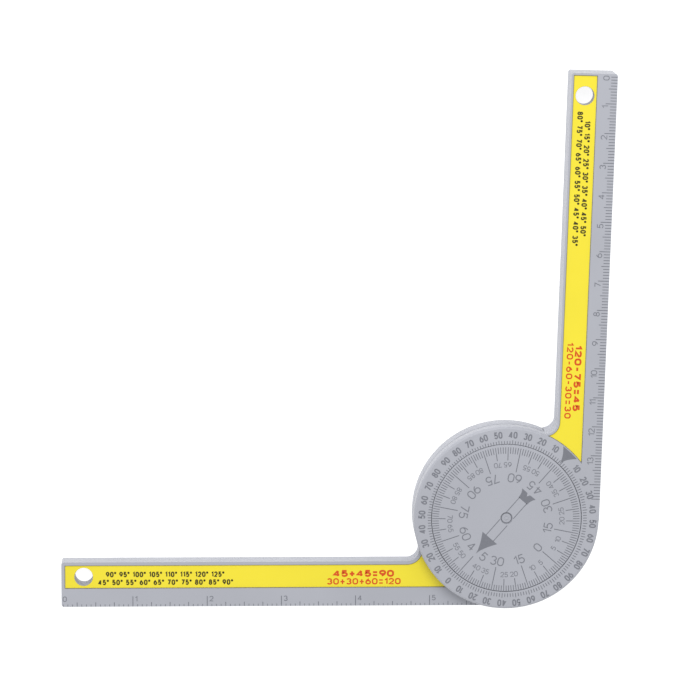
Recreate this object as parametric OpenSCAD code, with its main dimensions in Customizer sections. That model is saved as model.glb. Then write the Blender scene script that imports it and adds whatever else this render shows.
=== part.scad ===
// Miter saw protractor: two ruler arms that turn on a round head.
// The lower arm carries the hub and the dial, and the upper arm carries the ring round the dial.
// Origin: pivot axis at the underside. +Z up, lower arm along -X. Millimetres.

/* [Arms] */
// Length of the lower arm from the pivot to its end
lower_length = 151.7; // [110:0.1:220]
// Length of the upper arm from the pivot to its end
upper_length = 152.4; // [110:0.1:220]
// Width of each arm
arm_width = 15.5; // [14.8:0.1:17]
// Angle between the two arms as shown
open_angle = 91.6; // [20:0.1:160]
// Height of the upper arm, the ring and the dial
upper_height = 13.6; // [13:0.2:16]
// Height of the lower arm and the hub
lower_height = 7.8; // [7.4:0.1:8.4]
// Radius of the corners at the end of each arm
end_corner_r = 0.8; // [0.3:0.1:2]

/* [Head] */
// Diameter of the round head, whose edge the ruler edges touch
head_d = 63.2; // [61:0.2:70]
// Diameter of the dial
dial_d = 51; // [48:0.2:52]
// Gap round the dial
dial_gap = 0.2; // [0.15:0.05:0.4]
// Radius of the hollow corner between arm and head
fillet_r = 4; // [2:0.5:6]
// Rounding of the ring's top outer edge
edge_r = 0.8; // [0.3:0.1:1]
// Bevel at the rim of the dial
dial_bevel = 0.2; // [0.1:0.05:0.3]
// Gap between the two half-lapped mouldings
lap_gap = 0.3; // [0.2:0.05:0.5]
// Diameter of the round dimple in the middle of the dial
dimple_d = 4.2; // [3:0.2:6]
// Depth of the dimple
dimple_depth = 0.5; // [0.3:0.1:0.8]

/* [Labels] */
// Width of the raised rim beside the lower arm's label
lower_rim_w = 1.1; // [0.8:0.1:1.4]
// Width of the raised rim beside the upper arm's label
upper_rim_w = 0.7; // [0.5:0.1:1]
// Width of each label
label_w = 7.7; // [7:0.1:8.2]
// Thickness of each label
label_t = 0.4; // [0.2:0.1:0.6]
// Depth of the recess that holds a label
recess_depth = 0.8; // [0.7:0.1:1]
// Gap all round a label
label_gap = 0.2; // [0.1:0.05:0.3]
// Reach of the lower label under the ring
label_tuck = 1.2; // [0.8:0.1:2]

/* [Hanging holes] */
// Diameter of the hole through each arm
hole_d = 6.2; // [5:0.1:6.6]
// Distance from the arm's end to the hole's middle
hole_from_end = 7.6; // [7:0.1:12]
// Length of the upper arm's hole below its label
upper_hole_length = 4.4; // [3:0.2:8]

/* [Moulding] */
// Thickness of the outer walls
wall = 1.5; // [1.2:0.1:2]
// Thickness of the top deck
deck = 2.4; // [2:0.1:3]
// Thickness of the ribs under the deck
rib_t = 1.2; // [0.8:0.1:1.6]
// Largest distance from rib to rib along an arm
rib_pitch = 14; // [9:1:16]
// Number of ribs in the outer row under the hub
hub_ribs = 12; // [12:1:18]
// Wall round a hole or a screw
boss_wall = 1.5; // [1.2:0.1:2]

/* [Pivot] */
// Diameter of the dial's skirt, on which the ring turns
skirt_d = 40; // [38:0.5:41]
// Width of the skirt
skirt_w = 2; // [1.6:0.1:3]
// Radial running clearance between skirt and ring
run_gap = 0.06; // [0.03:0.01:0.1]
// Thickness of the ledge that the dial holds down
ledge_t = 1.5; // [1.2:0.1:1.8]
// Thickness of the glide ring
glide_t = 0.4; // [0.3:0.1:0.5]
// Play between the glide ring and the ring above it
glide_play = 0.1; // [0.05:0.05:0.15]
// Height of the space for the wave washer
spring_space = 0.8; // [0.7:0.1:1]
// Thickness of the wave washer's strip
spring_t = 0.3; // [0.2:0.05:0.4]
// Number of waves in the washer
spring_waves = 3; // [3:1:5]
// Diameter of the spigot under the middle of the dial
spigot_d = 6; // [4:0.5:8]

/* [Screws] */
// Number of screws that hold the dial
screw_count = 3; // [3:1:4]
// Distance of the screws from the pivot
screw_circle_r = 12; // [11:0.5:13]
// Diameter of a screw's shank
screw_d = 3; // [2.5:0.1:3.2]
// Diameter of a screw's head
screw_head_d = 5.4; // [5:0.1:6]
// Height of a screw's head
screw_head_h = 1.8; // [1.4:0.1:2.2]
// Length of the shank above the hub's seat
screw_length = 7; // [6:0.5:8]
// Depth of the counterbore under the hub
counterbore_depth = 4.2; // [3.6:0.2:4.8]

/* [Hidden] */
$fn = 96;

head_r = head_d / 2;
dial_r = dial_d / 2;
skirt_r = skirt_d / 2;
edge_out = -head_r;
edge_in = edge_out + arm_width;
hole_r = hole_d / 2;
upper_turn = 180 - open_angle;

// What differs between the two arms, and its places in the lists
LENGTH = 0;
HEIGHT = 1;
RIM = 2;
LOWER = [lower_length, lower_height, lower_rim_w];
UPPER = [upper_length, upper_height, upper_rim_w];

// Heights of the half lap, the ledge and the dial's flange
ring_z = lower_height + glide_t + glide_play;
ledge_z = ring_z + ledge_t;
flange_z = ledge_z + spring_space;
spigot_z = 2.2;
cut_over = 1;

// Circles that the mouldings and their hollows keep to
bore_r = dial_r + dial_gap;
ledge_bore_r = skirt_r + run_gap;
lap_r = head_r + lap_gap;
mid_wall_r = screw_circle_r + screw_head_d / 2 + 0.4 + boss_wall;
centre_boss_r = spigot_d / 2 + 3;
sleeve_gap = 0.05;
hollow_corner_w = 4;
heel_t = 1.5 * wall;

// Hollow corner: its circle bites a little into the head, so that the two outlines cross
corner_bite = 0.02;
corner_steps = 20;
corner_y = edge_in + fillet_r;
corner_x = sqrt(pow(head_r + fillet_r - corner_bite, 2) - pow(corner_y, 2));
corner_end = 180 - atan(-corner_y / corner_x);

body_grey = [0.70, 0.71, 0.745];
label_yellow = [0.97, 0.89, 0.25];
steel = [0.72, 0.72, 0.74];
nylon = [0.93, 0.93, 0.90];

// Height at which a circle of radius r passes the distance across
function along(r, across) = sqrt(r * r - across * across);

// Width of an arm's ruler face
function ruler_w(arm) = arm_width - arm[RIM] - label_w - 2 * label_gap;

// Middle of the hanging hole: along the arm, and across it in the middle of the label
function hole_middle(arm) = [arm[LENGTH] - hole_from_end, edge_in - arm[RIM] - label_gap - label_w / 2];

// Points of the hollow corner, inset by s from the arm's edge
function corner_points(s) = [
    for (i = [0:corner_steps])
        let (a = 270 + (corner_end - 270) * i / corner_steps)
        [corner_x + (fillet_r + s) * cos(a), corner_y + (fillet_r + s) * sin(a)]
];

// Points of an arm's two end corners, inset by s from its end
function end_points(arm, s_in, s_out, s_end) =
    let (r = max(end_corner_r - min(s_in, s_end), 0.2), steps = 6)
    let (x = arm[LENGTH] - s_end - r, y0 = edge_out + s_out + r, y1 = edge_in - s_in - r)
    [
        for (i = [0:steps]) [x + r * sin(90 * i / steps), y0 - r * cos(90 * i / steps)],
        for (i = [0:steps]) [x + r * cos(90 * i / steps), y1 + r * sin(90 * i / steps)]
    ];

// Outline of an arm along +X with its ruler edge at -Y, inset at the inner edge, ruler edge and end
module arm_outline(arm, s_in = 0, s_out = 0, s_end = 0) {
    bend = corner_points(s_in);
    polygon(concat(
        [[0, edge_out + s_out]],
        end_points(arm, s_in, s_out, s_end),
        bend,
        [[0, bend[corner_steps][1]]]
    ));
}

// Outline of the label's recess, or of the label when clear is its gap
module label_outline(arm, head_side_r, clear = 0) {
    difference() {
        arm_outline(arm, arm[RIM] + clear, ruler_w(arm) + clear, arm[RIM] + clear);
        circle(r = head_side_r + clear);
    }
}

// Places its children on the lower arm's side, as the mirror image of the upper arm's
module on_lower_arm() {
    mirror([1, 0, 0]) children();
}

// Places its children along the upper arm
module on_upper_arm() {
    rotate([0, 0, upper_turn]) children();
}

// Ribs across an arm from x0 to the end wall, evenly spaced
module arm_ribs(arm, x0, height) {
    x1 = arm[LENGTH] - wall;
    gaps = ceil((x1 - x0 + rib_t) / rib_pitch);
    step = (x1 - x0 + rib_t) / gaps;
    for (i = [1:gaps - 1])
        translate([x0 + i * step - rib_t, edge_out, 0])
            cube([rib_t, arm_width + fillet_r, height]);
}

// Hollow under an arm's deck, open below, with ribs and the hanging hole's boss left standing.
// The boss starts at boss_z.
module arm_hollow(arm, head_side_r, boss_z) {
    x0 = along(head_side_r, head_r - wall - hollow_corner_w);
    top = arm[HEIGHT] - deck;
    difference() {
        translate([0, 0, -cut_over]) linear_extrude(top + cut_over) difference() {
            arm_outline(arm, wall, wall, wall);
            circle(r = head_side_r);
            translate([0, -2 * head_r]) square([x0, 2 * head_r + edge_out + wall + hollow_corner_w]);
        }
        translate([0, 0, -2 * cut_over]) arm_ribs(arm, x0, top + 3 * cut_over);
        translate([0, 0, boss_z]) translate(hole_middle(arm))
            cylinder(r = hole_r + boss_wall, h = top - boss_z + cut_over);
    }
}

// Cuts that an arm's top and end take: the label's recess and the hanging hole
module arm_cuts(arm, head_side_r) {
    translate([0, 0, arm[HEIGHT] - recess_depth]) linear_extrude(recess_depth + cut_over)
        label_outline(arm, head_side_r);
    translate([0, 0, -cut_over]) translate(hole_middle(arm))
        cylinder(r = hole_r, h = arm[HEIGHT] + 2 * cut_over);
}

// One row of radial ribs between two radii
module radial_ribs(count, r0, r1, height) {
    for (i = [0:count - 1])
        rotate([0, 0, 360 * i / count])
            translate([r0, -rib_t / 2, 0]) cube([r1 - r0, rib_t, height]);
}

// Hollow between two radii under the hub, with its ribs left standing
module hub_hollow(r0, r1, count) {
    top = lower_height - deck;
    difference() {
        translate([0, 0, -cut_over]) cylinder(r = r1, h = top + cut_over);
        translate([0, 0, -2 * cut_over]) cylinder(r = r0, h = top + 3 * cut_over);
        translate([0, 0, -2 * cut_over]) radial_ribs(count, r0 - cut_over, r1 + cut_over, top + 3 * cut_over);
    }
}

// Repeats its children at the dial's screws
module at_screws() {
    for (i = [0:screw_count - 1])
        rotate([0, 0, 360 * i / screw_count]) translate([screw_circle_r, 0, 0]) children();
}

// Lower arm and hub, one moulding, hollow and ribbed underneath
module lower_arm() {
    boss_r = screw_head_d / 2 + 0.4 + boss_wall;
    color(body_grey) difference() {
        union() {
            difference() {
                union() {
                    cylinder(r = head_r, h = lower_height);
                    on_lower_arm() linear_extrude(lower_height) arm_outline(LOWER);
                }
                on_lower_arm() arm_hollow(LOWER, head_r, -2 * cut_over);
                hub_hollow(centre_boss_r, mid_wall_r, 2 * screw_count);
                hub_hollow(mid_wall_r + wall, head_r - wall, hub_ribs);
            }
            at_screws() cylinder(r = boss_r, h = lower_height - deck / 2);
        }
        on_lower_arm() arm_cuts(LOWER, head_r - label_tuck);
        at_screws() {
            translate([0, 0, -cut_over])
                cylinder(r = screw_head_d / 2 + 0.4, h = counterbore_depth + cut_over);
            cylinder(r = screw_d / 2 + 0.2, h = lower_height + cut_over);
        }
        translate([0, 0, spigot_z - 0.3])
            cylinder(r = spigot_d / 2 + sleeve_gap, h = lower_height);
    }
}

// Profile of the ring: rounded top edge, sharp mouth, ledge, and a groove cored out from below
module ring_profile() {
    steps = 4;
    inner_wall_r = bore_r + wall;
    groove_top = upper_height - deck;
    polygon(concat(
        [
            [ledge_bore_r, ring_z],
            [inner_wall_r, ring_z],
            [inner_wall_r, groove_top],
            [head_r - wall, groove_top],
            [head_r - wall, ring_z],
            [head_r, ring_z]
        ],
        [
            for (i = [0:steps])
                [head_r - edge_r + edge_r * cos(90 * i / steps),
                 upper_height - edge_r + edge_r * sin(90 * i / steps)]
        ],
        [
            [bore_r, upper_height],
            [bore_r, ledge_z],
            [ledge_bore_r, ledge_z]
        ]
    ));
}

// Arm of the upper moulding: full height, half lapped round the hub
module upper_arm_bar() {
    heel_x = along(lap_r, head_r - heel_t);
    difference() {
        linear_extrude(upper_height) arm_outline(UPPER);
        translate([0, 0, -cut_over]) cylinder(r = lap_r, h = ring_z + cut_over);
        translate([-cut_over, -2 * head_r, -cut_over])
            cube([heel_x + cut_over, 2 * head_r, ring_z + cut_over]);
        translate([0, 0, ring_z - cut_over])
            cylinder(r = head_r - wall / 2, h = upper_height);
    }
}

// Upper arm and ring, one moulding
module upper_arm() {
    color(body_grey) on_upper_arm() difference() {
        union() {
            rotate_extrude() ring_profile();
            upper_arm_bar();
        }
        arm_hollow(UPPER, lap_r + wall, upper_height - recess_depth - upper_hole_length);
        arm_cuts(UPPER, head_r);
    }
}

// Profile of the dial: bevelled flange and the skirt that the ring turns on
module dial_profile() {
    polygon([
        [0, flange_z],
        [skirt_r - skirt_w, flange_z],
        [skirt_r - skirt_w, lower_height],
        [skirt_r, lower_height],
        [skirt_r, flange_z],
        [dial_r, flange_z],
        [dial_r, upper_height - dial_bevel],
        [dial_r - dial_bevel, upper_height],
        [0, upper_height]
    ]);
}

// Dial, screwed down on the hub so that its flange holds the ring
module dial_disc() {
    pilot_top = counterbore_depth + screw_length + 0.4;
    dimple_z = upper_height - dimple_depth;
    color(body_grey) difference() {
        union() {
            difference() {
                rotate_extrude() dial_profile();
                translate([0, 0, dimple_z]) cylinder(d = dimple_d, h = dimple_depth + cut_over);
            }
            translate([0, 0, dimple_z - 0.1]) cylinder(d = dimple_d / 4, h = 0.1 + dimple_depth / 2);
            at_screws() translate([0, 0, lower_height])
                cylinder(r = screw_d / 2 + boss_wall, h = flange_z - lower_height + 0.2);
            translate([0, 0, spigot_z]) cylinder(d = spigot_d, h = flange_z - spigot_z + 0.2);
        }
        at_screws() translate([0, 0, lower_height - cut_over])
            cylinder(r = screw_d / 2 + sleeve_gap, h = pilot_top - lower_height + cut_over);
    }
}

// Label in the lower arm's recess
module lower_label() {
    color(label_yellow) on_lower_arm() label_plate(LOWER, head_r - label_tuck);
}

// Label in the upper arm's recess
module upper_label() {
    color(label_yellow) on_upper_arm() label_plate(UPPER, head_r);
}

// Flat label on the floor of a recess, punched for the hanging hole
module label_plate(arm, head_side_r) {
    difference() {
        translate([0, 0, arm[HEIGHT] - recess_depth]) linear_extrude(label_t)
            label_outline(arm, head_side_r, label_gap);
        translate(hole_middle(arm)) cylinder(r = hole_r + label_gap / 2, h = arm[HEIGHT] + cut_over);
    }
}

// Flat slippery ring between hub and ring
module glide_ring() {
    color(nylon) translate([0, 0, lower_height]) difference() {
        cylinder(r = bore_r + wall / 2, h = glide_t);
        translate([0, 0, -cut_over]) cylinder(r = skirt_r + 0.5, h = glide_t + 2 * cut_over);
    }
}

// Wavy spring strip between the dial's flange and the ring's ledge
module wave_washer() {
    steps = 72;
    r0 = skirt_r + 0.4;
    r1 = bore_r - 0.8;
    mid_z = ledge_z + spring_space / 2;
    swing = (spring_space - spring_t) / 2 - 0.06;
    points = [
        for (i = [0:steps - 1])
            let (a = 360 * i / steps, z = mid_z + swing * cos(spring_waves * a))
            for (p = [[r0, -1], [r1, -1], [r1, 1], [r0, 1]])
                [p[0] * cos(a), p[0] * sin(a), z + p[1] * spring_t / 2]
    ];
    faces = [
        for (i = [0:steps - 1])
            for (k = [0:3])
                let (a = 4 * i, b = 4 * ((i + 1) % steps), m = (k + 1) % 4)
                for (f = [[a + k, a + m, b + m], [a + k, b + m, b + k]]) f
    ];
    color(steel) polyhedron(points = points, faces = faces, convexity = 4);
}

// Screws that hold the dial, driven from below
module dial_screws() {
    color(steel) at_screws() difference() {
        union() {
            translate([0, 0, counterbore_depth - screw_head_h]) cylinder(d = screw_head_d, h = screw_head_h);
            cylinder(d = screw_d, h = counterbore_depth + screw_length);
        }
        translate([0, 0, -cut_over]) cylinder(d = screw_head_d, h = counterbore_depth - screw_head_h + cut_over);
        for (turn = [0, 90])
            rotate([0, 0, turn])
                translate([-screw_d / 2, -0.4, counterbore_depth - screw_head_h - cut_over])
                    cube([screw_d, 0.8, 0.9 + cut_over]);
    }
}

lower_arm();
upper_arm();
dial_disc();
lower_label();
upper_label();
glide_ring();
wave_washer();
dial_screws();
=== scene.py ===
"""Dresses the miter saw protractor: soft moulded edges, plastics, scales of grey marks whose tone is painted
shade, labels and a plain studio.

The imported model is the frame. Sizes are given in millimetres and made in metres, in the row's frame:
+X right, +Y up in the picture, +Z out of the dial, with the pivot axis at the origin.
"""

import logging
import math
from dataclasses import dataclass, field, replace
from enum import Enum
from typing import ClassVar, Sequence

import bmesh
import bpy
from mathutils import Euler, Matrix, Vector


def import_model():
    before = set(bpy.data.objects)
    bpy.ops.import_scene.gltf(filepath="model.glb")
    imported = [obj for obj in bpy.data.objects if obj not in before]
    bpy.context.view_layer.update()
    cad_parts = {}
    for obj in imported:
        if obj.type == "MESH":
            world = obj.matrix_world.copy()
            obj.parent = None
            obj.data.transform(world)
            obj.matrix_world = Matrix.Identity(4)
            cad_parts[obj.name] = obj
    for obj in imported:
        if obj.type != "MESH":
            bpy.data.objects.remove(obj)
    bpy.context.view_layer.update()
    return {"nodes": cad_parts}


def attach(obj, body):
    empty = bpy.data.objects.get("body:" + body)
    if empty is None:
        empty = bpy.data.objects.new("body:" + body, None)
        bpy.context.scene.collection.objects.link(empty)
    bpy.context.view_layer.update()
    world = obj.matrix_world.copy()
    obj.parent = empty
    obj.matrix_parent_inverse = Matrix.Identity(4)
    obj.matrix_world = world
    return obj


log = logging.getLogger("protractor")

MM = 0.001
FULL_TURN = 360
RIGHT_ANGLE = 90

# The display's own curve, which turns 8-bit colours into linear ones
LEVELS = 255.0
CURVE_START = 0.04045
CURVE_SLOPE = 12.92
CURVE_LIFT = 0.055
CURVE_POWER = 2.4

Point = tuple[float, float]
Colour = tuple[float, float, float]


def polar(radius: float, angle: float) -> Point:
    """The point at a radius and an angle in degrees."""
    turn = math.radians(angle)
    return radius * math.cos(turn), radius * math.sin(turn)


def placed(middle: Point, radius: float, angle: float, across: float = 0.0) -> Point:
    """A point of a round scale whose middle lies a hair off the pivot.

    Args:
        middle: The scale's middle.
        radius: Distance from it.
        angle: Direction from it, in degrees.
        across: Distance to the left of that direction.

    Returns:
        The place in the row's frame.
    """
    out = polar(radius, angle)
    aside = polar(across, angle + RIGHT_ANGLE)
    return middle[0] + out[0] + aside[0], middle[1] + out[1] + aside[1]


def reach(middle: Point, angle: float, circle_r: float) -> float:
    """How far a ray from a scale's middle runs until it meets a circle round the pivot.

    Args:
        middle: The scale's middle, inside the circle.
        angle: The ray's direction in degrees.
        circle_r: The circle's radius.

    Returns:
        The ray's length.
    """
    out = polar(1.0, angle)
    along = middle[0] * out[0] + middle[1] * out[1]
    return math.sqrt(along ** 2 - math.hypot(*middle) ** 2 + circle_r ** 2) - along


def linear(red: int, green: int, blue: int) -> Colour:
    """Turns an 8-bit display colour into scene-linear values.

    Args:
        red: Red from 0 to 255.
        green: Green from 0 to 255.
        blue: Blue from 0 to 255.

    Returns:
        The same colour as linear red, green and blue.
    """
    def channel(value: int) -> float:
        """Turns one channel.

        Args:
            value: The channel from 0 to 255.

        Returns:
            Its linear value.
        """
        share = value / LEVELS
        if share <= CURVE_START:
            return share / CURVE_SLOPE
        return ((share + CURVE_LIFT) / (1.0 + CURVE_LIFT)) ** CURVE_POWER

    return channel(red), channel(green), channel(blue)


class Body(Enum):
    """The two bodies that the pieces ride on."""

    LOWER = "lower"
    UPPER = "upper"


class Unit(Enum):
    """The unit of a ruler, by the number of millimetres in one numbered step."""

    INCH = 25.4
    CENTIMETRE = 10.0


# Materials


def lighter(colour: Colour, share: float) -> Colour:
    """A colour made lighter or darker by a share of itself."""
    return tuple(min(1.0, channel * (1.0 + share)) for channel in colour)


@dataclass(frozen=True)
class Waves:
    """A noise: how many waves there are in a millimetre, its octaves of finer noise, and their weight."""

    per_mm: float
    detail: float = 2.0
    rough: float = 0.5


@dataclass(frozen=True)
class Cloud:
    """A colour's change with a noise, by the shares to which it goes darker and paler."""

    waves: Waves
    darker: float
    paler: float = 0.0


@dataclass(frozen=True)
class Satin:
    """A roughness that goes from a low to a high value with a noise."""

    waves: Waves
    low: float
    high: float


@dataclass(frozen=True)
class Relief:
    """How a height shows: how far 1 of it stands proud, and how much of that shows."""

    depth_mm: float
    strength: float


class Graph:
    """A material's node graph, built by short calls."""

    NOISE_LOW = 0.3
    NOISE_HIGH = 0.7

    def __init__(self, name: str) -> None:
        """Makes a material with an empty surface.

        Args:
            name: The material's name.
        """
        self.material = bpy.data.materials.new(name)
        self.material.use_nodes = True
        self.tree = self.material.node_tree
        self.shader = self.tree.nodes["Principled BSDF"]
        self.place = self.tree.nodes.new("ShaderNodeTexCoord").outputs["Object"]

    def link(self, source: bpy.types.NodeSocket, target: bpy.types.NodeSocket) -> None:
        """Joins two sockets."""
        self.tree.links.new(source, target)

    def noise(self, waves: Waves) -> bpy.types.NodeSocket:
        """Noise over the object's own place.

        Args:
            waves: The noise's waves.

        Returns:
            The noise as a number from 0 to 1.
        """
        node = self.tree.nodes.new("ShaderNodeTexNoise")
        node.inputs["Scale"].default_value = waves.per_mm / MM
        node.inputs["Detail"].default_value = waves.detail
        node.inputs["Roughness"].default_value = waves.rough
        self.link(self.place, node.inputs["Vector"])
        return node.outputs["Fac"]

    def spread(self, value: bpy.types.NodeSocket, low: float, high: float) -> bpy.types.NodeSocket:
        """Spreads the middle of a noise over a range.

        Args:
            value: The noise.
            low: What the middle's low end becomes.
            high: What its high end becomes.

        Returns:
            The spread value.
        """
        node = self.tree.nodes.new("ShaderNodeMapRange")
        node.inputs["From Min"].default_value = self.NOISE_LOW
        node.inputs["From Max"].default_value = self.NOISE_HIGH
        node.inputs["To Min"].default_value = low
        node.inputs["To Max"].default_value = high
        self.link(value, node.inputs["Value"])
        return node.outputs["Result"]

    def between(self, value: bpy.types.NodeSocket, first: Colour, second: Colour) -> None:
        """Gives the surface a colour between two, by a value.

        Args:
            value: 0 for the first colour, 1 for the second.
            first: The first colour.
            second: The second colour.
        """
        node = self.tree.nodes.new("ShaderNodeMix")
        node.data_type = "RGBA"
        node.inputs["A"].default_value = (*first, 1.0)
        node.inputs["B"].default_value = (*second, 1.0)
        self.link(value, node.inputs["Factor"])
        self.link(node.outputs["Result"], self.shader.inputs["Base Color"])

    def cloud(self, cloud: Cloud, colour: Colour) -> bpy.types.NodeSocket:
        """Gives the surface a colour that changes with a noise.

        Args:
            cloud: The change.
            colour: The colour.

        Returns:
            The noise, from 0 where the colour is darkest to 1 where it is palest.
        """
        value = self.spread(self.noise(cloud.waves), 0.0, 1.0)
        self.between(value, lighter(colour, -cloud.darker), lighter(colour, cloud.paler))
        return value

    def satin(self, satin: Satin) -> None:
        """Gives the surface a roughness that changes with a noise."""
        value = self.spread(self.noise(satin.waves), satin.low, satin.high)
        self.link(value, self.shader.inputs["Roughness"])

    def bump(self, height: bpy.types.NodeSocket, relief: Relief,
             under: bpy.types.NodeSocket | None = None) -> bpy.types.NodeSocket:
        """Raises the surface by a height.

        Args:
            height: The height's value.
            relief: How it shows.
            under: A bump that this one lies on.

        Returns:
            The new normal.
        """
        node = self.tree.nodes.new("ShaderNodeBump")
        node.inputs["Distance"].default_value = relief.depth_mm * MM
        node.inputs["Strength"].default_value = relief.strength
        self.link(height, node.inputs["Height"])
        if under is not None:
            self.link(under, node.inputs["Normal"])
        return node.outputs["Normal"]


@dataclass(frozen=True)
class MouldedPlastic:
    """Satin moulded plastic with a fine eroded texture and faint flow marks."""

    name: str
    colour: Colour
    flow: Cloud = Cloud(Waves(0.03, 3.0), 0.035, 0.035)
    wear: Satin = Satin(Waves(0.14, 4.0, 0.6), 0.41, 0.52)
    grain_waves: Waves = Waves(3.2, 3.0, 0.6)
    grain: Relief = Relief(0.012, 0.35)
    sink_waves: Waves = Waves(0.06, 1.0)
    sink: Relief = Relief(0.05, 0.25)
    ior: float = 1.49
    specular: float = 0.42

    def make(self) -> bpy.types.Material:
        """Builds the material.

        Returns:
            The material.
        """
        graph = Graph(self.name)
        graph.cloud(self.flow, self.colour)
        graph.satin(self.wear)
        grain = graph.bump(graph.noise(self.grain_waves), self.grain)
        sink = graph.bump(graph.noise(self.sink_waves), self.sink, grain)
        graph.link(sink, graph.shader.inputs["Normal"])
        graph.shader.inputs["IOR"].default_value = self.ior
        graph.shader.inputs["Specular IOR Level"].default_value = self.specular
        return graph.material


@dataclass(frozen=True)
class PrintedFilm:
    """Label film: a printed colour under a thin satin coat."""

    name: str
    colour: Colour
    cloud: Cloud = Cloud(Waves(0.05, 2.0), 0.025, 0.02)
    satin: Satin = Satin(Waves(0.3, 3.0), 0.34, 0.43)
    peel_waves: Waves = Waves(0.9, 2.0)
    peel: Relief = Relief(0.01, 0.25)
    coat: float = 0.25
    coat_roughness: float = 0.22
    specular: float = 0.4

    def make(self) -> bpy.types.Material:
        """Builds the material.

        Returns:
            The material.
        """
        graph = Graph(self.name)
        graph.cloud(self.cloud, self.colour)
        graph.satin(self.satin)
        peel = graph.bump(graph.noise(self.peel_waves), self.peel)
        graph.link(peel, graph.shader.inputs["Normal"])
        graph.shader.inputs["Coat Weight"].default_value = self.coat
        graph.shader.inputs["Coat Roughness"].default_value = self.coat_roughness
        graph.shader.inputs["Specular IOR Level"].default_value = self.specular
        return graph.material


@dataclass(frozen=True)
class PrintingInk:
    """A thin layer of ink with a slightly uneven cover; on the grey scale marks and the dimple ring it is
    painted shade.
    """

    name: str
    colour: Colour
    ground: Colour
    thin_share: float = 0.10
    cover: Waves = Waves(1.1, 4.0, 0.7)
    satin: Satin = Satin(Waves(0.8, 2.0), 0.44, 0.58)
    specular: float = 0.35

    def make(self) -> bpy.types.Material:
        """Builds the material.

        Returns:
            The material.
        """
        graph = Graph(self.name)
        thin = tuple(a + (b - a) * self.thin_share for a, b in zip(self.colour, self.ground))
        graph.between(graph.spread(graph.noise(self.cover), 0.0, 1.0), self.colour, thin)
        graph.satin(self.satin)
        graph.shader.inputs["Specular IOR Level"].default_value = self.specular
        return graph.material


@dataclass(frozen=True)
class BareMetal:
    """Plain steel: rolled spring strip or a plated screw."""

    name: str
    colour: Colour
    streaks: Cloud
    satin: Satin
    brushed: Relief = Relief(0.01, 0.2)

    def make(self) -> bpy.types.Material:
        """Builds the material.

        Returns:
            The material.
        """
        graph = Graph(self.name)
        streak = graph.cloud(self.streaks, self.colour)
        graph.satin(self.satin)
        graph.link(graph.bump(streak, self.brushed), graph.shader.inputs["Normal"])
        graph.shader.inputs["Metallic"].default_value = 1.0
        return graph.material


@dataclass(frozen=True)
class PlainNylon:
    """Natural nylon, a little cloudy."""

    name: str
    colour: Colour
    cloud: Cloud = Cloud(Waves(0.2, 3.0), 0.04)
    satin: Satin = Satin(Waves(1.2, 3.0), 0.32, 0.45)
    pores_waves: Waves = Waves(2.4, 3.0)
    pores: Relief = Relief(0.01, 0.25)
    depth: float = 0.12
    depth_mm: float = 0.8

    def make(self) -> bpy.types.Material:
        """Builds the material.

        Returns:
            The material.
        """
        graph = Graph(self.name)
        graph.cloud(self.cloud, self.colour)
        graph.satin(self.satin)
        graph.link(graph.bump(graph.noise(self.pores_waves), self.pores), graph.shader.inputs["Normal"])
        graph.shader.inputs["Subsurface Weight"].default_value = self.depth
        graph.shader.inputs["Subsurface Scale"].default_value = self.depth_mm * MM
        return graph.material


@dataclass(frozen=True)
class LitTable:
    """The studio's white table, lit from below so that no shadow shows on it."""

    name: str
    colour: Colour
    glow: float
    tooth: Cloud = Cloud(Waves(0.4, 3.0), 0.01)
    roughness: float = 0.9

    def make(self) -> bpy.types.Material:
        """Builds the material.

        Returns:
            The material.
        """
        graph = Graph(self.name)
        graph.cloud(self.tooth, self.colour)
        graph.shader.inputs["Roughness"].default_value = self.roughness
        graph.shader.inputs["Specular IOR Level"].default_value = 0.0
        graph.shader.inputs["Emission Color"].default_value = (1.0, 1.0, 1.0, 1.0)
        graph.shader.inputs["Emission Strength"].default_value = self.glow
        return graph.material


BODY_GREY = linear(166, 168, 176)
# The grey of the number and line marks is painted shade: it stands for the shading on the scales' moulded
# relief marks.
NUMBER_SHADE_GREY = linear(114, 116, 124)
LINE_SHADE_GREY = linear(98, 100, 108)
ARROW_GREY = linear(112, 114, 122)
LABEL_YELLOW = linear(232, 215, 42)
LABEL_BLACK = linear(26, 22, 5)
LABEL_RED = linear(205, 58, 10)
NATURAL_NYLON: Colour = (0.83, 0.83, 0.79)
SPRING_STEEL: Colour = (0.52, 0.52, 0.54)
ZINC_PLATE: Colour = (0.66, 0.67, 0.70)
SPRING_STREAKS = Cloud(Waves(0.7, 5.0, 0.7), 0.08)
SPRING_SATIN = Satin(Waves(0.35, 4.0), 0.27, 0.44)
ZINC_STREAKS = Cloud(Waves(1.6, 5.0, 0.7), 0.08)
ZINC_SATIN = Satin(Waves(0.8, 4.0), 0.21, 0.38)


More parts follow.
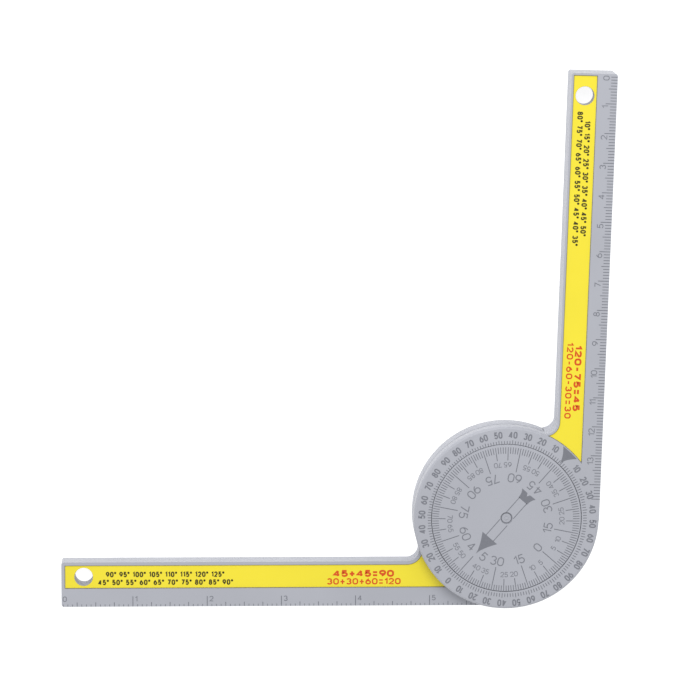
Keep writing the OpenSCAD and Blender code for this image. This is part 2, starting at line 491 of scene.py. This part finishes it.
@dataclass
class Finishes:
    """Every finish on the protractor, made once."""

    plastic: bpy.types.Material = field(
        default_factory=MouldedPlastic("light grey moulded plastic", BODY_GREY).make)
    film: bpy.types.Material = field(
        default_factory=PrintedFilm("yellow label film", LABEL_YELLOW).make)
    # The number and line finishes are painted shade: dark grey that stands for the shading of the moulded
    # scale marks, and for the line finish also the dimple ring's shade.
    number_ink: bpy.types.Material = field(
        default_factory=PrintingInk("grey number marks painted shade", NUMBER_SHADE_GREY, BODY_GREY).make)
    line_ink: bpy.types.Material = field(
        default_factory=PrintingInk("grey line marks painted shade", LINE_SHADE_GREY, BODY_GREY).make)
    arrow_ink: bpy.types.Material = field(
        default_factory=PrintingInk("grey arrow ink", ARROW_GREY, BODY_GREY).make)
    black_ink: bpy.types.Material = field(
        default_factory=PrintingInk("black label ink", LABEL_BLACK, LABEL_YELLOW).make)
    red_ink: bpy.types.Material = field(
        default_factory=PrintingInk("orange red label ink", LABEL_RED, LABEL_YELLOW).make)
    nylon: bpy.types.Material = field(
        default_factory=PlainNylon("natural nylon", NATURAL_NYLON).make)
    spring: bpy.types.Material = field(
        default_factory=BareMetal("spring steel strip", SPRING_STEEL, SPRING_STREAKS, SPRING_SATIN).make)
    screw: bpy.types.Material = field(
        default_factory=BareMetal("zinc plated screw", ZINC_PLATE, ZINC_STREAKS, ZINC_SATIN).make)


# Printed shapes and marks of painted shade


@dataclass(frozen=True)
class Lettering:
    """How numbers are drawn, in millimetres: height, stroke, width as a share, and the gap between them."""

    height: float
    stroke: float
    stretch: float = 1.0
    gap: float = 0.2


def arc(centre: Point, radii: Point, start: float, end: float, steps: int = 9) -> list[Point]:
    """Points on an ellipse's arc.

    Args:
        centre: The ellipse's middle.
        radii: Its radii along x and y.
        start: First angle in degrees.
        end: Last angle in degrees.
        steps: How many straight pieces it takes.

    Returns:
        The points, both ends included.
    """
    turns = [math.radians(start + (end - start) * step / steps) for step in range(steps + 1)]
    return [(centre[0] + radii[0] * math.cos(turn), centre[1] + radii[1] * math.sin(turn)) for turn in turns]


def turned_over(strokes: Sequence[Sequence[Point]], width: float) -> tuple[list[Point], ...]:
    """Strokes turned by half a turn in a box of height 1."""
    return tuple([(width - x, 1.0 - y) for x, y in stroke] for stroke in strokes)


class StrokeFace:
    """Plain numbers drawn with one even stroke in boxes of height 1, as an engraver's template has them."""

    WIDE = 0.60
    SIX = (
        arc((0.30, 0.315), (0.30, 0.315), 180.0, -180.0, 18),
        arc((0.66, 0.315), (0.66, 0.66), 180.0, 112.0, 6),
    )
    ZERO = (arc((0.30, 0.68), (0.30, 0.32), 0.0, 180.0, 9)
            + arc((0.30, 0.32), (0.30, 0.32), 180.0, 360.0, 9) + [(0.60, 0.68)])
    TWO = arc((0.29, 0.71), (0.29, 0.29), 168.0, -38.0, 10) + [(0.0, 0.0), (0.60, 0.0)]
    THREE = (
        arc((0.28, 0.75), (0.26, 0.25), 160.0, -78.0, 9),
        arc((0.28, 0.27), (0.29, 0.27), 84.0, -160.0, 10),
    )
    FIVE = [(0.54, 1.0), (0.10, 1.0), (0.05, 0.53)] + arc((0.28, 0.315), (0.29, 0.315), 128.0, -155.0, 11)
    EIGHT = (
        arc((0.29, 0.755), (0.24, 0.245), -90.0, 270.0, 14),
        arc((0.29, 0.265), (0.29, 0.265), 90.0, 450.0, 16),
    )
    GLYPHS: dict[str, tuple[float, tuple[list[Point], ...]]] = {
        "0": (WIDE, (ZERO,)),
        "1": (0.27, ([(0.0, 0.76), (0.27, 1.0), (0.27, 0.0)],)),
        "2": (0.58, (TWO,)),
        "3": (0.57, THREE),
        "4": (0.62, ([(0.62, 0.27), (0.0, 0.27), (0.44, 1.0)], [(0.44, 1.0), (0.44, 0.0)])),
        "5": (0.57, (FIVE,)),
        "6": (WIDE, SIX),
        "7": (0.58, ([(0.0, 1.0), (0.58, 1.0), (0.20, 0.0)],)),
        "8": (0.58, EIGHT),
        "9": (WIDE, turned_over(SIX, WIDE)),
        "+": (0.56, ([(0.0, 0.44), (0.56, 0.44)], [(0.28, -0.02), (0.28, 0.90)])),
        "-": (0.40, ([(0.0, 0.42), (0.40, 0.42)],)),
        "=": (0.50, ([(0.0, 0.14), (0.50, 0.14)], [(0.0, 0.74), (0.50, 0.74)])),
        "*": (0.20, (arc((0.10, 0.88), (0.12, 0.12), 0.0, 360.0, 8),)),
        " ": (0.16, ()),
    }

    @classmethod
    def width(cls, words: str, style: Lettering) -> float:
        """How long a string is, in millimetres."""
        boxes = sum(cls.GLYPHS[sign][0] for sign in words) * style.height * style.stretch
        return boxes + style.stroke * len(words) + style.gap * (len(words) - 1)

    @classmethod
    def strokes(cls, words: str, style: Lettering) -> list[list[Point]]:
        """The strokes' middle lines for a string that is centred on the origin.

        Args:
            words: The string.
            style: Its size and weight.

        Returns:
            One list of points for each stroke, in millimetres.
        """
        wide = style.height * style.stretch
        tall = style.height - style.stroke
        left = (style.stroke - cls.width(words, style)) / 2
        drawn = []
        for sign in words:
            box, strokes = cls.GLYPHS[sign]
            drawn += [[(left + x * wide, (y - 0.5) * tall) for x, y in stroke] for stroke in strokes]
            left += box * wide + style.stroke + style.gap
        return drawn


@dataclass
class Print:
    """Flat shapes, printed ones and marks of painted shade, that are gathered, in millimetres, into one thin
    solid piece.
    """

    name: str
    verts: list[tuple[float, float, float]] = field(default_factory=list)
    faces: list[tuple[int, ...]] = field(default_factory=list)
    MITRE: ClassVar[float] = 1.8
    LIFT: ClassVar[float] = 0.05
    CLOSED_SHARE: ClassVar[float] = 0.01
    WELD_MM: ClassVar[float] = 0.0005

    def shape(self, outline: Sequence[Point], lift: float = 0.0) -> None:
        """Adds a prism over an outline.

        Args:
            outline: The corners, counter-clockwise.
            lift: How much higher its top lies, as a share of the piece's thickness.
        """
        start = len(self.verts)
        count = len(outline)
        self.verts += [(x, y, 0.0) for x, y in outline]
        self.verts += [(x, y, 1.0 + lift) for x, y in outline]
        self.faces.append(tuple(start + count + i for i in range(count)))
        self.faces.append(tuple(start + i for i in reversed(range(count))))
        for i in range(count):
            after = (i + 1) % count
            self.faces.append((start + i, start + after, start + count + after, start + count + i))

    def bar(self, start: Point, end: Point, width: float) -> None:
        """Adds a straight flat line.

        Args:
            start: Middle of one end.
            end: Middle of the other end.
            width: The line's width.
        """
        length = math.dist(start, end)
        across_x = -(end[1] - start[1]) / length * width / 2
        across_y = (end[0] - start[0]) / length * width / 2
        self.shape([
            (start[0] - across_x, start[1] - across_y),
            (end[0] - across_x, end[1] - across_y),
            (end[0] + across_x, end[1] + across_y),
            (start[0] + across_x, start[1] + across_y),
        ])

    def ribbon(self, points: Sequence[Point], width: float, lift: float = 0.0) -> None:
        """Adds a bent line of even width, closed where its ends meet.

        Args:
            points: The line's middle.
            width: The line's width.
            lift: How much higher its top lies, as a share of the piece's thickness.
        """
        closed = math.dist(points[0], points[-1]) < self.CLOSED_SHARE * width
        line = list(points[:-1]) if closed else list(points)
        count = len(line)
        left: list[Point] = []
        right: list[Point] = []
        for index, (x, y) in enumerate(line):
            before = line[index - 1] if index or closed else None
            after = line[(index + 1) % count] if index < count - 1 or closed else None
            normals = []
            for first, second in ((before, (x, y)), ((x, y), after)):
                if first is not None and second is not None:
                    length = math.dist(first, second)
                    normals.append(((first[1] - second[1]) / length, (second[0] - first[0]) / length))
            across = (sum(n[0] for n in normals), sum(n[1] for n in normals))
            size = math.hypot(*across)
            half = width / 2 * (min(2.0 / size, self.MITRE) if len(normals) == 2 else 1.0)
            side = (across[0] / size * half, across[1] / size * half)
            left.append((x + side[0], y + side[1]))
            right.append((x - side[0], y - side[1]))
        for index in range(count if closed else count - 1):
            after = (index + 1) % count
            self.shape([right[index], right[after], left[after], left[index]], lift)

    def write(self, words: str, centre: Point, angle: float, style: Lettering) -> None:
        """Adds numbers, each second stroke a hair higher, so that strokes that cross don't share a plane.

        Args:
            words: The numbers.
            centre: Middle of their box.
            angle: Direction in which they read, in degrees.
            style: Their size and weight.
        """
        turn = math.radians(angle)
        for index, stroke in enumerate(StrokeFace.strokes(words, style)):
            line = [(centre[0] + x * math.cos(turn) - y * math.sin(turn),
                     centre[1] + x * math.sin(turn) + y * math.cos(turn)) for x, y in stroke]
            self.ribbon(line, style.stroke, (index % 2) * self.LIFT)

    def build(self, surface_z: float, material: bpy.types.Material, body: Body,
              proud: float = 0.02, sunk: float = 0.02) -> bpy.types.Object:
        """Makes the piece on a level surface.

        Args:
            surface_z: Height of the surface, in millimetres.
            material: The ink, which for the grey scale marks and the dimple ring is painted shade.
            body: The body that it rides on.
            proud: How far the piece stands on the surface.
            sunk: How far it reaches into the surface.

        Returns:
            The new object.
        """
        low = surface_z - sunk
        deep = proud + sunk
        mesh = bpy.data.meshes.new(self.name)
        places = [(x * MM, y * MM, (low + z * deep) * MM) for x, y, z in self.verts]
        mesh.from_pydata(places, [], self.faces)
        solid = bmesh.new()
        solid.from_mesh(mesh)
        bmesh.ops.remove_doubles(solid, verts=solid.verts, dist=self.WELD_MM * MM)
        bmesh.ops.recalc_face_normals(solid, faces=solid.faces)
        solid.to_mesh(mesh)
        solid.free()
        mesh.materials.append(material)
        piece = bpy.data.objects.new(self.name, mesh)
        bpy.context.scene.collection.objects.link(piece)
        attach(piece, body.value)
        return piece


# The arms


@dataclass(frozen=True)
class ArmPlace:
    """Where an arm lies: its own x runs from the pivot to its end, and its ruler edge is at its lowest y."""

    body: Body
    top_z: float
    label_z: float
    turn: float = 0.0
    mirrored: bool = False
    ruler_y: float = -31.6

    def point(self, x: float, y: float) -> Point:
        """Puts a point of the arm's own plan into the row's frame.

        Args:
            x: Its distance along the arm.
            y: Its distance across the arm.

        Returns:
            The point.
        """
        if self.mirrored:
            return -x, y
        turn = math.radians(self.turn)
        return x * math.cos(turn) - y * math.sin(turn), x * math.sin(turn) + y * math.cos(turn)

    def heading(self, angle: float) -> float:
        """A direction of the arm's own plan, in the row's frame, in degrees."""
        return 180.0 - angle if self.mirrored else angle + self.turn


LOWER_TOP = 7.8
UPPER_TOP = 13.6
LABEL_DROP = 0.4
LOWER_ARM = ArmPlace(Body.LOWER, top_z=LOWER_TOP, label_z=LOWER_TOP - LABEL_DROP, mirrored=True)
UPPER_ARM = ArmPlace(Body.UPPER, top_z=UPPER_TOP, label_z=UPPER_TOP - LABEL_DROP, turn=88.4)


@dataclass(frozen=True)
class Tick:
    """One kind of line on a ruler: every how many steps, how long and how wide."""

    every: int
    length: float
    width: float


@dataclass
class Ruler:
    """A scale along an arm's outer edge, with its zero line at the arm's end."""

    name: str
    arm: ArmPlace
    unit: Unit
    steps: int
    ticks: tuple[Tick, ...]
    zero_x: float
    last_x: float
    number_end_x: float
    numbers: int
    number_in: float
    number_gap: float
    heading: float
    style: Lettering
    first_step: int = 1
    edge_gap: float = 0.05

    def _tick(self, index: int) -> Tick:
        """The longest kind of line that falls on a step."""
        return max((tick for tick in self.ticks if index % tick.every == 0), key=lambda tick: tick.length)

    def build(self, finishes: Finishes) -> list[bpy.types.Object]:
        """Draws the lines and the numbers.

        Args:
            finishes: The protractor's finishes.

        Returns:
            The two pieces.
        """
        lines = Print(f"{self.name}_lines")
        edge = self.arm.ruler_y
        index = self.first_step
        while self.zero_x - index * self.unit.value / self.steps >= self.last_x:
            x = self.zero_x - index * self.unit.value / self.steps
            tick = self._tick(index)
            start = self.arm.point(x, edge + self.edge_gap)
            lines.bar(start, self.arm.point(x, edge + tick.length), tick.width)
            index += 1
        numbers = Print(f"{self.name}_numbers")
        for value in range(self.numbers + 1):
            words = str(value)
            half = StrokeFace.width(words, self.style) / 2
            x = min(self.zero_x - value * self.unit.value - self.number_gap, self.number_end_x) - half
            centre = self.arm.point(x, edge + self.number_in)
            numbers.write(words, centre, self.arm.heading(self.heading), self.style)
        # The lines' and numbers' dark grey is painted shade on the moulded marks.
        return [
            lines.build(self.arm.top_z, finishes.line_ink, self.arm.body),
            numbers.build(self.arm.top_z, finishes.number_ink, self.arm.body),
        ]


@dataclass(frozen=True)
class Line:
    """A line of numbers on a label: what it says, its middle, its length and its style."""

    words: str
    x: float
    y: float
    length: float
    style: Lettering


@dataclass
class LabelPrint:
    """The two tables of plain numbers on one label, black near the hole and red near the head."""

    name: str
    arm: ArmPlace
    black: tuple[Line, ...]
    red: tuple[Line, ...]
    heading: float = 180.0
    ink_mm: float = 0.012

    def _print(self, name: str, lines: Sequence[Line], ink: bpy.types.Material) -> bpy.types.Object:
        """Prints some lines with one ink.

        Args:
            name: The piece's name.
            lines: The lines.
            ink: The ink.

        Returns:
            The piece.
        """
        sheet = Print(name)
        for line in lines:
            spare = (line.length - StrokeFace.width(line.words, line.style)) / (len(line.words) - 1)
            style = replace(line.style, gap=line.style.gap + spare)
            centre = self.arm.point(line.x, line.y)
            sheet.write(line.words, centre, self.arm.heading(self.heading), style)
        return sheet.build(self.arm.label_z, ink, self.arm.body, self.ink_mm, self.ink_mm)

    def build(self, finishes: Finishes) -> list[bpy.types.Object]:
        """Prints both tables.

        Args:
            finishes: The protractor's finishes.

        Returns:
            The two pieces.
        """
        return [
            self._print(f"{self.name}_angles", self.black, finishes.black_ink),
            self._print(f"{self.name}_sums", self.red, finishes.red_ink),
        ]


# The head


@dataclass
class DegreeRing:
    """The ring's scale: a line at each second degree, a number at each tenth, both ways from the pointer."""

    zero: float = 46.7
    middle: Point = (0.29, -0.38)
    mouth_r: float = 25.76
    top_z: float = UPPER_TOP
    line_step: int = 2
    number_step: int = 10
    line_from: float = 25.85
    line_to: float = 27.1
    tenth_to: float = 27.4
    line_width: float = 0.22
    number_r: float = 29.2
    style: Lettering = Lettering(2.4, 0.45, 0.65, 0.15)

    def build(self, finishes: Finishes) -> list[bpy.types.Object]:
        """Draws the lines and the numbers.

        Args:
            finishes: The protractor's finishes.

        Returns:
            The two pieces.
        """
        lines = Print("ring_lines")
        for step in range(0, FULL_TURN, self.line_step):
            angle = self.zero + step
            start = max(self.line_from, reach(self.middle, angle, self.mouth_r))
            end = self.line_to if step % self.number_step else self.tenth_to
            lines.bar(placed(self.middle, start, angle), placed(self.middle, end, angle), self.line_width)
        numbers = Print("ring_numbers")
        for step in range(self.number_step, FULL_TURN, self.number_step):
            around = min(step, FULL_TURN - step)
            value = min(around, 2 * RIGHT_ANGLE - around)
            angle = self.zero + step
            centre = placed(self.middle, self.number_r, angle)
            numbers.write(str(value), centre, angle - RIGHT_ANGLE, self.style)
        # The lines' and numbers' dark grey is painted shade on the moulded marks.
        return [
            lines.build(self.top_z, finishes.line_ink, Body.UPPER),
            numbers.build(self.top_z, finishes.number_ink, Body.UPPER),
        ]


@dataclass
class RingPointer:
    """The dark pointer beside the upper label, with hollow sides and its tip at the ring's zero."""

    angle: float = 46.6
    top_z: float = UPPER_TOP
    base_r: float = 31.3
    tip_r: float = 25.9
    half_width: float = 3.2
    hollow: float = 1.6
    steps: int = 10
    base_shares: tuple[float, ...] = (-0.6, -0.2, 0.2, 0.6)

    def build(self, finishes: Finishes) -> list[bpy.types.Object]:
        """Draws the pointer.

        Args:
            finishes: The protractor's finishes.

        Returns:
            The piece.
        """
        left: list[Point] = []
        right: list[Point] = []
        for step in range(self.steps + 1):
            share = step / self.steps
            radius = self.base_r + (self.tip_r - self.base_r) * share
            half = math.degrees(self.half_width * (1 - share) ** self.hollow / radius)
            left.append(polar(radius, self.angle + half))
            right.append(polar(radius, self.angle - half))
        pointer = Print("ring_pointer")
        spread = math.degrees(self.half_width / self.base_r)
        base = [polar(self.base_r, self.angle + spread * share) for share in self.base_shares]
        pointer.shape(base + left[:-1] + right[:0:-1] + right[:1])
        return [pointer.build(self.top_z, finishes.arrow_ink, Body.UPPER)]


@dataclass
class DialFace:
    """The dial's scale: a line at each second degree, large numbers each 30 degrees, small ones between."""

    axis: float = 48.75
    middle: Point = (-0.2, -0.56)
    flat_r: float = 25.28
    top_z: float = UPPER_TOP
    line_step: int = 2
    number_step: int = 10
    value_step: int = 5
    large_every: int = 15
    tail_value: int = 45
    line_from: float = 22.9
    line_to: float = 25.15
    line_width: float = 0.22
    large_line: tuple[float, float] = (16.8, 22.9)
    small_line: tuple[float, float] = (20.6, 22.9)
    scale_line_width: float = 0.24
    large_r: float = 14.6
    small_r: float = 19.1
    large_style: Lettering = Lettering(3.15, 0.34, 1.0, 0.28)
    small_style: Lettering = Lettering(1.8, 0.22, 1.0, 0.12)
    split: tuple[float, float] = (1.45, 2.75)

    def _value(self, turned: int) -> int:
        """The value at an angle round from the 45 that the arrow's tail stands at.

        Args:
            turned: The angle in degrees.

        Returns:
            The value: it goes up to 90, down to 0 and back to 45.
        """
        half = 2 * RIGHT_ANGLE
        side, past = divmod(turned, half)
        away = min(past, half - past) // self.number_step * self.value_step
        return self.tail_value - away if side else self.tail_value + away

    def build(self, finishes: Finishes) -> list[bpy.types.Object]:
        """Draws the lines and the numbers.

        Args:
            finishes: The protractor's finishes.

        Returns:
            The three pieces.
        """
        lines = Print("dial_lines")
        large = Print("dial_large_numbers")
        small = Print("dial_small_numbers")
        for step in range(0, FULL_TURN, self.line_step):
            angle = self.axis + step
            start = placed(self.middle, self.line_from, angle)
            end = min(self.line_to, reach(self.middle, angle, self.flat_r))
            lines.bar(start, placed(self.middle, end, angle), self.line_width)
        for step in range(0, FULL_TURN, self.number_step):
            angle = self.axis + step
            upright = angle + RIGHT_ANGLE
            value = self._value(step)
            is_small = value % self.large_every != 0
            start, end = (placed(self.middle, radius, angle)
                          for radius in (self.small_line if is_small else self.large_line))
            lines.bar(start, end, self.scale_line_width)
            if is_small:
                small.write(str(value), placed(self.middle, self.small_r, angle), upright, self.small_style)
            elif value == self.tail_value:
                apart = self.split[1] if step else self.split[0]
                for digit, side in zip(str(value), (-1, 1)):
                    centre = placed(self.middle, self.large_r, angle, side * apart)
                    large.write(digit, centre, upright, self.large_style)
            else:
                large.write(str(value), placed(self.middle, self.large_r, angle), upright, self.large_style)
        # The lines' and numbers' dark grey is painted shade on the moulded marks.
        return [
            lines.build(self.top_z, finishes.line_ink, Body.LOWER),
            large.build(self.top_z, finishes.number_ink, Body.LOWER),
            small.build(self.top_z, finishes.number_ink, Body.LOWER),
        ]


@dataclass
class DialArrow:
    """The arrow across the dial: two shaft lines, a head with hollow sides and a swallow tail."""

    axis: float = 49.0
    middle: Point = (0.05, -0.28)
    top_z: float = UPPER_TOP
    shaft_half: float = 1.65
    shaft_from: float = 1.55
    shaft_width: float = 0.26
    head_base: float = 8.7
    head_half: float = 3.3
    head_tip: float = 15.9
    head_hollow: float = 1.45
    tail_base: float = 8.3
    tail_half: float = 1.95
    tail_tips: float = 11.45
    tail_tip_half: float = 3.05
    tail_hollow: float = 2.4
    tail_notch: float = 10.3
    notch_half: float = 0.6
    notch_in: float = 0.08
    shaft_into_tail: float = 0.2
    shaft_into_head: float = 0.1
    tail_shares: tuple[float, ...] = (0.35, 0.6, 0.8, 1.0)
    steps: int = 10

    def _at(self, along: float, across: float) -> Point:
        """A point by its distance along the arrow towards the tail, and across it."""
        turn = math.radians(self.axis)
        return (self.middle[0] + along * math.cos(turn) - across * math.sin(turn),
                self.middle[1] + along * math.sin(turn) + across * math.cos(turn))

    def _head_side(self, side: int) -> list[Point]:
        """One hollow side of the head.

        Args:
            side: 1 for the left side, -1 for the right one.

        Returns:
            Its points, from the base to the tip.
        """
        shares = [step / self.steps for step in range(self.steps + 1)]
        return [self._at(-(self.head_base + (self.head_tip - self.head_base) * share),
                         side * self.head_half * (1 - share) ** self.head_hollow) for share in shares]

    def build(self, finishes: Finishes) -> list[bpy.types.Object]:
        """Draws the arrow.

        Args:
            finishes: The protractor's finishes.

        Returns:
            The piece.
        """
        arrow = Print("dial_arrow")
        to_tail = self.tail_base + self.shaft_into_tail
        to_head = self.head_base + self.shaft_into_head
        for across in (-self.shaft_half, self.shaft_half):
            arrow.bar(self._at(self.shaft_from, across), self._at(to_tail, across), self.shaft_width)
            arrow.bar(self._at(-self.shaft_from, across), self._at(-to_head, across), self.shaft_width)
        arrow.shape(self._head_side(1) + self._head_side(-1)[-2::-1])
        side = [(self.tail_base, self.tail_half)]
        side += [(self.tail_base + (self.tail_tips - self.tail_base) * share,
                  self.tail_half + (self.tail_tip_half - self.tail_half) * share ** self.tail_hollow)
                 for share in self.tail_shares]
        side += [(self.tail_tips - self.notch_in, self.notch_half)]
        arrow.shape([self._at(along, -across) for along, across in side]
                    + [self._at(self.tail_notch, 0.0)]
                    + [self._at(along, across) for along, across in reversed(side)])
        return [arrow.build(self.top_z, finishes.arrow_ink, Body.LOWER)]


@dataclass
class DimpleLine:
    """Painted shade: a dark ring round the floor of the dial's dimple, where its wall shades the floor."""

    top_z: float = UPPER_TOP
    depth: float = 0.5
    radius: float = 1.75
    width: float = 0.3
    steps: int = 32

    def build(self, finishes: Finishes) -> list[bpy.types.Object]:
        """Draws the ring of painted shade.

        Args:
            finishes: The protractor's finishes.

        Returns:
            The piece.
        """
        # Painted shade at the foot of the dimple's wall, drawn in the line finish.
        line = Print("dimple_shade_ring")
        line.ribbon(arc((0.0, 0.0), (self.radius, self.radius), 0.0, FULL_TURN, self.steps), self.width)
        return [line.build(self.top_z - self.depth, finishes.line_ink, Body.LOWER)]


# The mouldings


@dataclass(frozen=True)
class SoftEdge:
    """A small rounded edge, as a mould leaves it."""

    radius: float
    steps: int = 2
    angle: float = 38.0
    weld_mm: float = 0.002

    def apply(self, piece: bpy.types.Object) -> None:
        """Adds the modifiers that weld the mesh and round its edges.

        Args:
            piece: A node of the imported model.
        """
        weld = piece.modifiers.new("weld", "WELD")
        weld.merge_threshold = self.weld_mm * MM
        bevel = piece.modifiers.new("soft edge", "BEVEL")
        bevel.width = self.radius * MM
        bevel.segments = self.steps
        bevel.limit_method = "ANGLE"
        bevel.angle_limit = math.radians(self.angle)
        bevel.miter_outer = "MITER_ARC"
        bevel.use_clamp_overlap = True
        bevel.harden_normals = True


@dataclass
class Mouldings:
    """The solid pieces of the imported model, with their finishes and soft edges."""

    nodes: dict[str, bpy.types.Object]
    arm_edge: SoftEdge = SoftEdge(0.16)
    label_edge: SoftEdge = SoftEdge(0.06)

    def _dress(self, node: str, material: bpy.types.Material, edge: SoftEdge | None = None) -> None:
        """Gives one node its finish.

        Args:
            node: The node's name.
            material: Its finish.
            edge: How its edges are rounded.
        """
        piece = self.nodes[node]
        for slot in piece.material_slots:
            slot.material = material
        if edge is not None:
            edge.apply(piece)
        log.info("%s: %s", node, material.name)

    def build(self, finishes: Finishes) -> None:
        """Dresses every node.

        Args:
            finishes: The protractor's finishes.
        """
        self._dress("lower_arm", finishes.plastic, self.arm_edge)
        self._dress("upper_arm", finishes.plastic, self.arm_edge)
        self._dress("dial_disc", finishes.plastic)
        self._dress("lower_label", finishes.film, self.label_edge)
        self._dress("upper_label", finishes.film, self.label_edge)
        self._dress("glide_ring", finishes.nylon)
        self._dress("wave_washer", finishes.spring)
        self._dress("dial_screws", finishes.screw)


# The studio


@dataclass
class Camera:
    """The camera of the picture, found from the scales."""

    place: tuple[float, float, float] = (-101.915, 264.421, 1284.523)
    turn: tuple[float, float, float] = (-0.1583, -0.0348, 0.0035)
    focal_px: float = 3816.0
    image_px: float = 680.0
    sensor: float = 36.0
    clip: tuple[float, float] = (0.01, 20.0)

    def build(self) -> None:
        """Sets up the camera and makes it the scene's own."""
        data = bpy.data.cameras.new("picture camera")
        data.sensor_fit = "HORIZONTAL"
        data.sensor_width = self.sensor
        data.lens = self.sensor * self.focal_px / self.image_px
        data.clip_start, data.clip_end = self.clip
        camera = bpy.data.objects.new("picture camera", data)
        camera.location = Vector(self.place) * MM
        camera.rotation_euler = Euler(self.turn)
        bpy.context.scene.collection.objects.link(camera)
        bpy.context.scene.camera = camera
        log.info("camera: %.1f mm lens", data.lens)


@dataclass(frozen=True)
class SoftBox:
    """A square studio light that faces the tool."""

    name: str
    place: tuple[float, float, float]
    side: float
    power: float
    aim: tuple[float, float, float] = (-40.0, 50.0, 0.0)
    colour: Colour = (1.0, 1.0, 1.0)

    def build(self) -> None:
        """Hangs the light."""
        data = bpy.data.lights.new(self.name, "AREA")
        data.shape = "SQUARE"
        data.size = self.side * MM
        data.energy = self.power
        data.color = self.colour
        light = bpy.data.objects.new(self.name, data)
        light.location = Vector(self.place) * MM
        look = (Vector(self.aim) - Vector(self.place)).normalized()
        light.rotation_euler = look.to_track_quat("-Z", "Y").to_euler()
        bpy.context.scene.collection.objects.link(light)


@dataclass
class Studio:
    """A lit white table under soft light, which shows the tool without hard shadows."""

    floor_half: float = 2500.0
    floor_colour: Colour = (0.40, 0.40, 0.40)
    floor_glow: float = 0.88
    sky: Colour = (1.0, 1.0, 1.0)
    sky_power: float = 0.775
    lights: tuple[SoftBox, ...] = (
        SoftBox("key box", (-150.0, 450.0, 650.0), 470.0, 2.85),
        SoftBox("back box", (-200.0, 900.0, 700.0), 420.0, 1.0),
    )

    def build(self) -> None:
        """Lays the floor, hangs the lights and lights the sky."""
        half = self.floor_half * MM
        mesh = bpy.data.meshes.new("studio_floor")
        corners = [(-half, -half, 0.0), (half, -half, 0.0), (half, half, 0.0), (-half, half, 0.0)]
        mesh.from_pydata(corners, [], [(0, 1, 2, 3)])
        table = LitTable("white studio table", self.floor_colour, self.floor_glow)
        mesh.materials.append(table.make())
        floor = bpy.data.objects.new("studio_floor", mesh)
        bpy.context.scene.collection.objects.link(floor)
        for light in self.lights:
            light.build()
        world = bpy.data.worlds.new("studio sky")
        world.use_nodes = True
        sky = world.node_tree.nodes["Background"]
        sky.inputs["Color"].default_value = (*self.sky, 1.0)
        sky.inputs["Strength"].default_value = self.sky_power
        scene = bpy.context.scene
        scene.world = world
        scene.view_settings.view_transform = "Standard"
        log.info("studio: %d lights", len(self.lights))


# The whole tool


CENTIMETRE_FACE = Lettering(2.2, 0.28, 1.0, 0.17)
INCH_FACE = Lettering(1.9, 0.28, 1.0, 0.12)
BLACK_FACE = Lettering(1.95, 0.46, 0.68, 0.0)
RED_BOLD_FACE = Lettering(2.45, 0.66, 1.2, 0.0)
RED_FACE = Lettering(2.25, 0.46, 1.1, 0.0)


@dataclass
class Scales:
    """Every mark on the protractor: the label print, the pointer and arrow, and the grey scale marks and
    dimple ring, whose dark grey is painted shade.
    """

    inch: Ruler = field(default_factory=lambda: Ruler(
        name="inch_scale", arm=LOWER_ARM, unit=Unit.INCH, steps=16,
        ticks=(Tick(1, 0.83, 0.2), Tick(4, 1.55, 0.22), Tick(16, 3.6, 0.24)),
        zero_x=152.72, last_x=6.0, number_end_x=151.3, numbers=5, number_in=2.7, number_gap=0.75,
        heading=180.0, style=INCH_FACE))
    centimetre: Ruler = field(default_factory=lambda: Ruler(
        name="centimetre_scale", arm=UPPER_ARM, unit=Unit.CENTIMETRE, steps=10,
        ticks=(Tick(1, 2.2, 0.22), Tick(5, 2.9, 0.22), Tick(10, 3.75, 0.24)),
        zero_x=152.34, last_x=6.9, number_end_x=152.0, numbers=13, number_in=3.84, number_gap=0.55,
        heading=0.0, style=CENTIMETRE_FACE))
    lower_label: LabelPrint = field(default_factory=lambda: LabelPrint(
        "lower_label", LOWER_ARM,
        (Line("90* 95* 100* 105* 110* 115* 120* 125*", 116.3, -20.45, 40.5, BLACK_FACE),
         Line("45* 50* 55* 60* 65* 70* 75* 80* 85* 90*", 116.1, -23.2, 46.1, BLACK_FACE)),
        (Line("45+45=90", 48.4, -20.4, 20.9, RED_BOLD_FACE),
         Line("30+30+60=120", 48.3, -23.15, 25.3, RED_FACE))))
    upper_label: LabelPrint = field(default_factory=lambda: LabelPrint(
        "upper_label", UPPER_ARM,
        (Line("10* 15* 20* 25* 30* 35* 40* 45* 50*", 116.9, -22.1, 39.05, BLACK_FACE),
         Line("80* 75* 70* 65* 60* 55* 50* 45* 40* 35*", 116.75, -19.5, 45.45, BLACK_FACE)),
        (Line("120-75=45", 48.85, -22.2, 22.7, RED_BOLD_FACE),
         Line("120-60-30=30", 48.0, -19.4, 26.2, RED_FACE))))
    ring: DegreeRing = field(default_factory=DegreeRing)
    pointer: RingPointer = field(default_factory=RingPointer)
    dial: DialFace = field(default_factory=DialFace)
    arrow: DialArrow = field(default_factory=DialArrow)
    # The dimple's dark ring is painted shade.
    dimple: DimpleLine = field(default_factory=DimpleLine)

    def build(self, finishes: Finishes) -> list[bpy.types.Object]:
        """Draws every mark: the print, and the painted shade of the scale marks and the dimple ring.

        Args:
            finishes: The protractor's finishes.

        Returns:
            The pieces.
        """
        parts = (self.inch, self.centimetre, self.lower_label, self.upper_label,
                 self.ring, self.pointer, self.dial, self.arrow, self.dimple)
        return [piece for part in parts for piece in part.build(finishes)]


def main() -> None:
    """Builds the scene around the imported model."""
    logging.basicConfig(level=logging.INFO, format="%(message)s")
    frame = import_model()
    Camera().build()
    Studio().build()
    finishes = Finishes()
    Mouldings(frame["nodes"]).build(finishes)
    for piece in Scales().build(finishes):
        log.info("%s: %d faces", piece.name, len(piece.data.polygons))


if __name__ == "__main__":
    main()
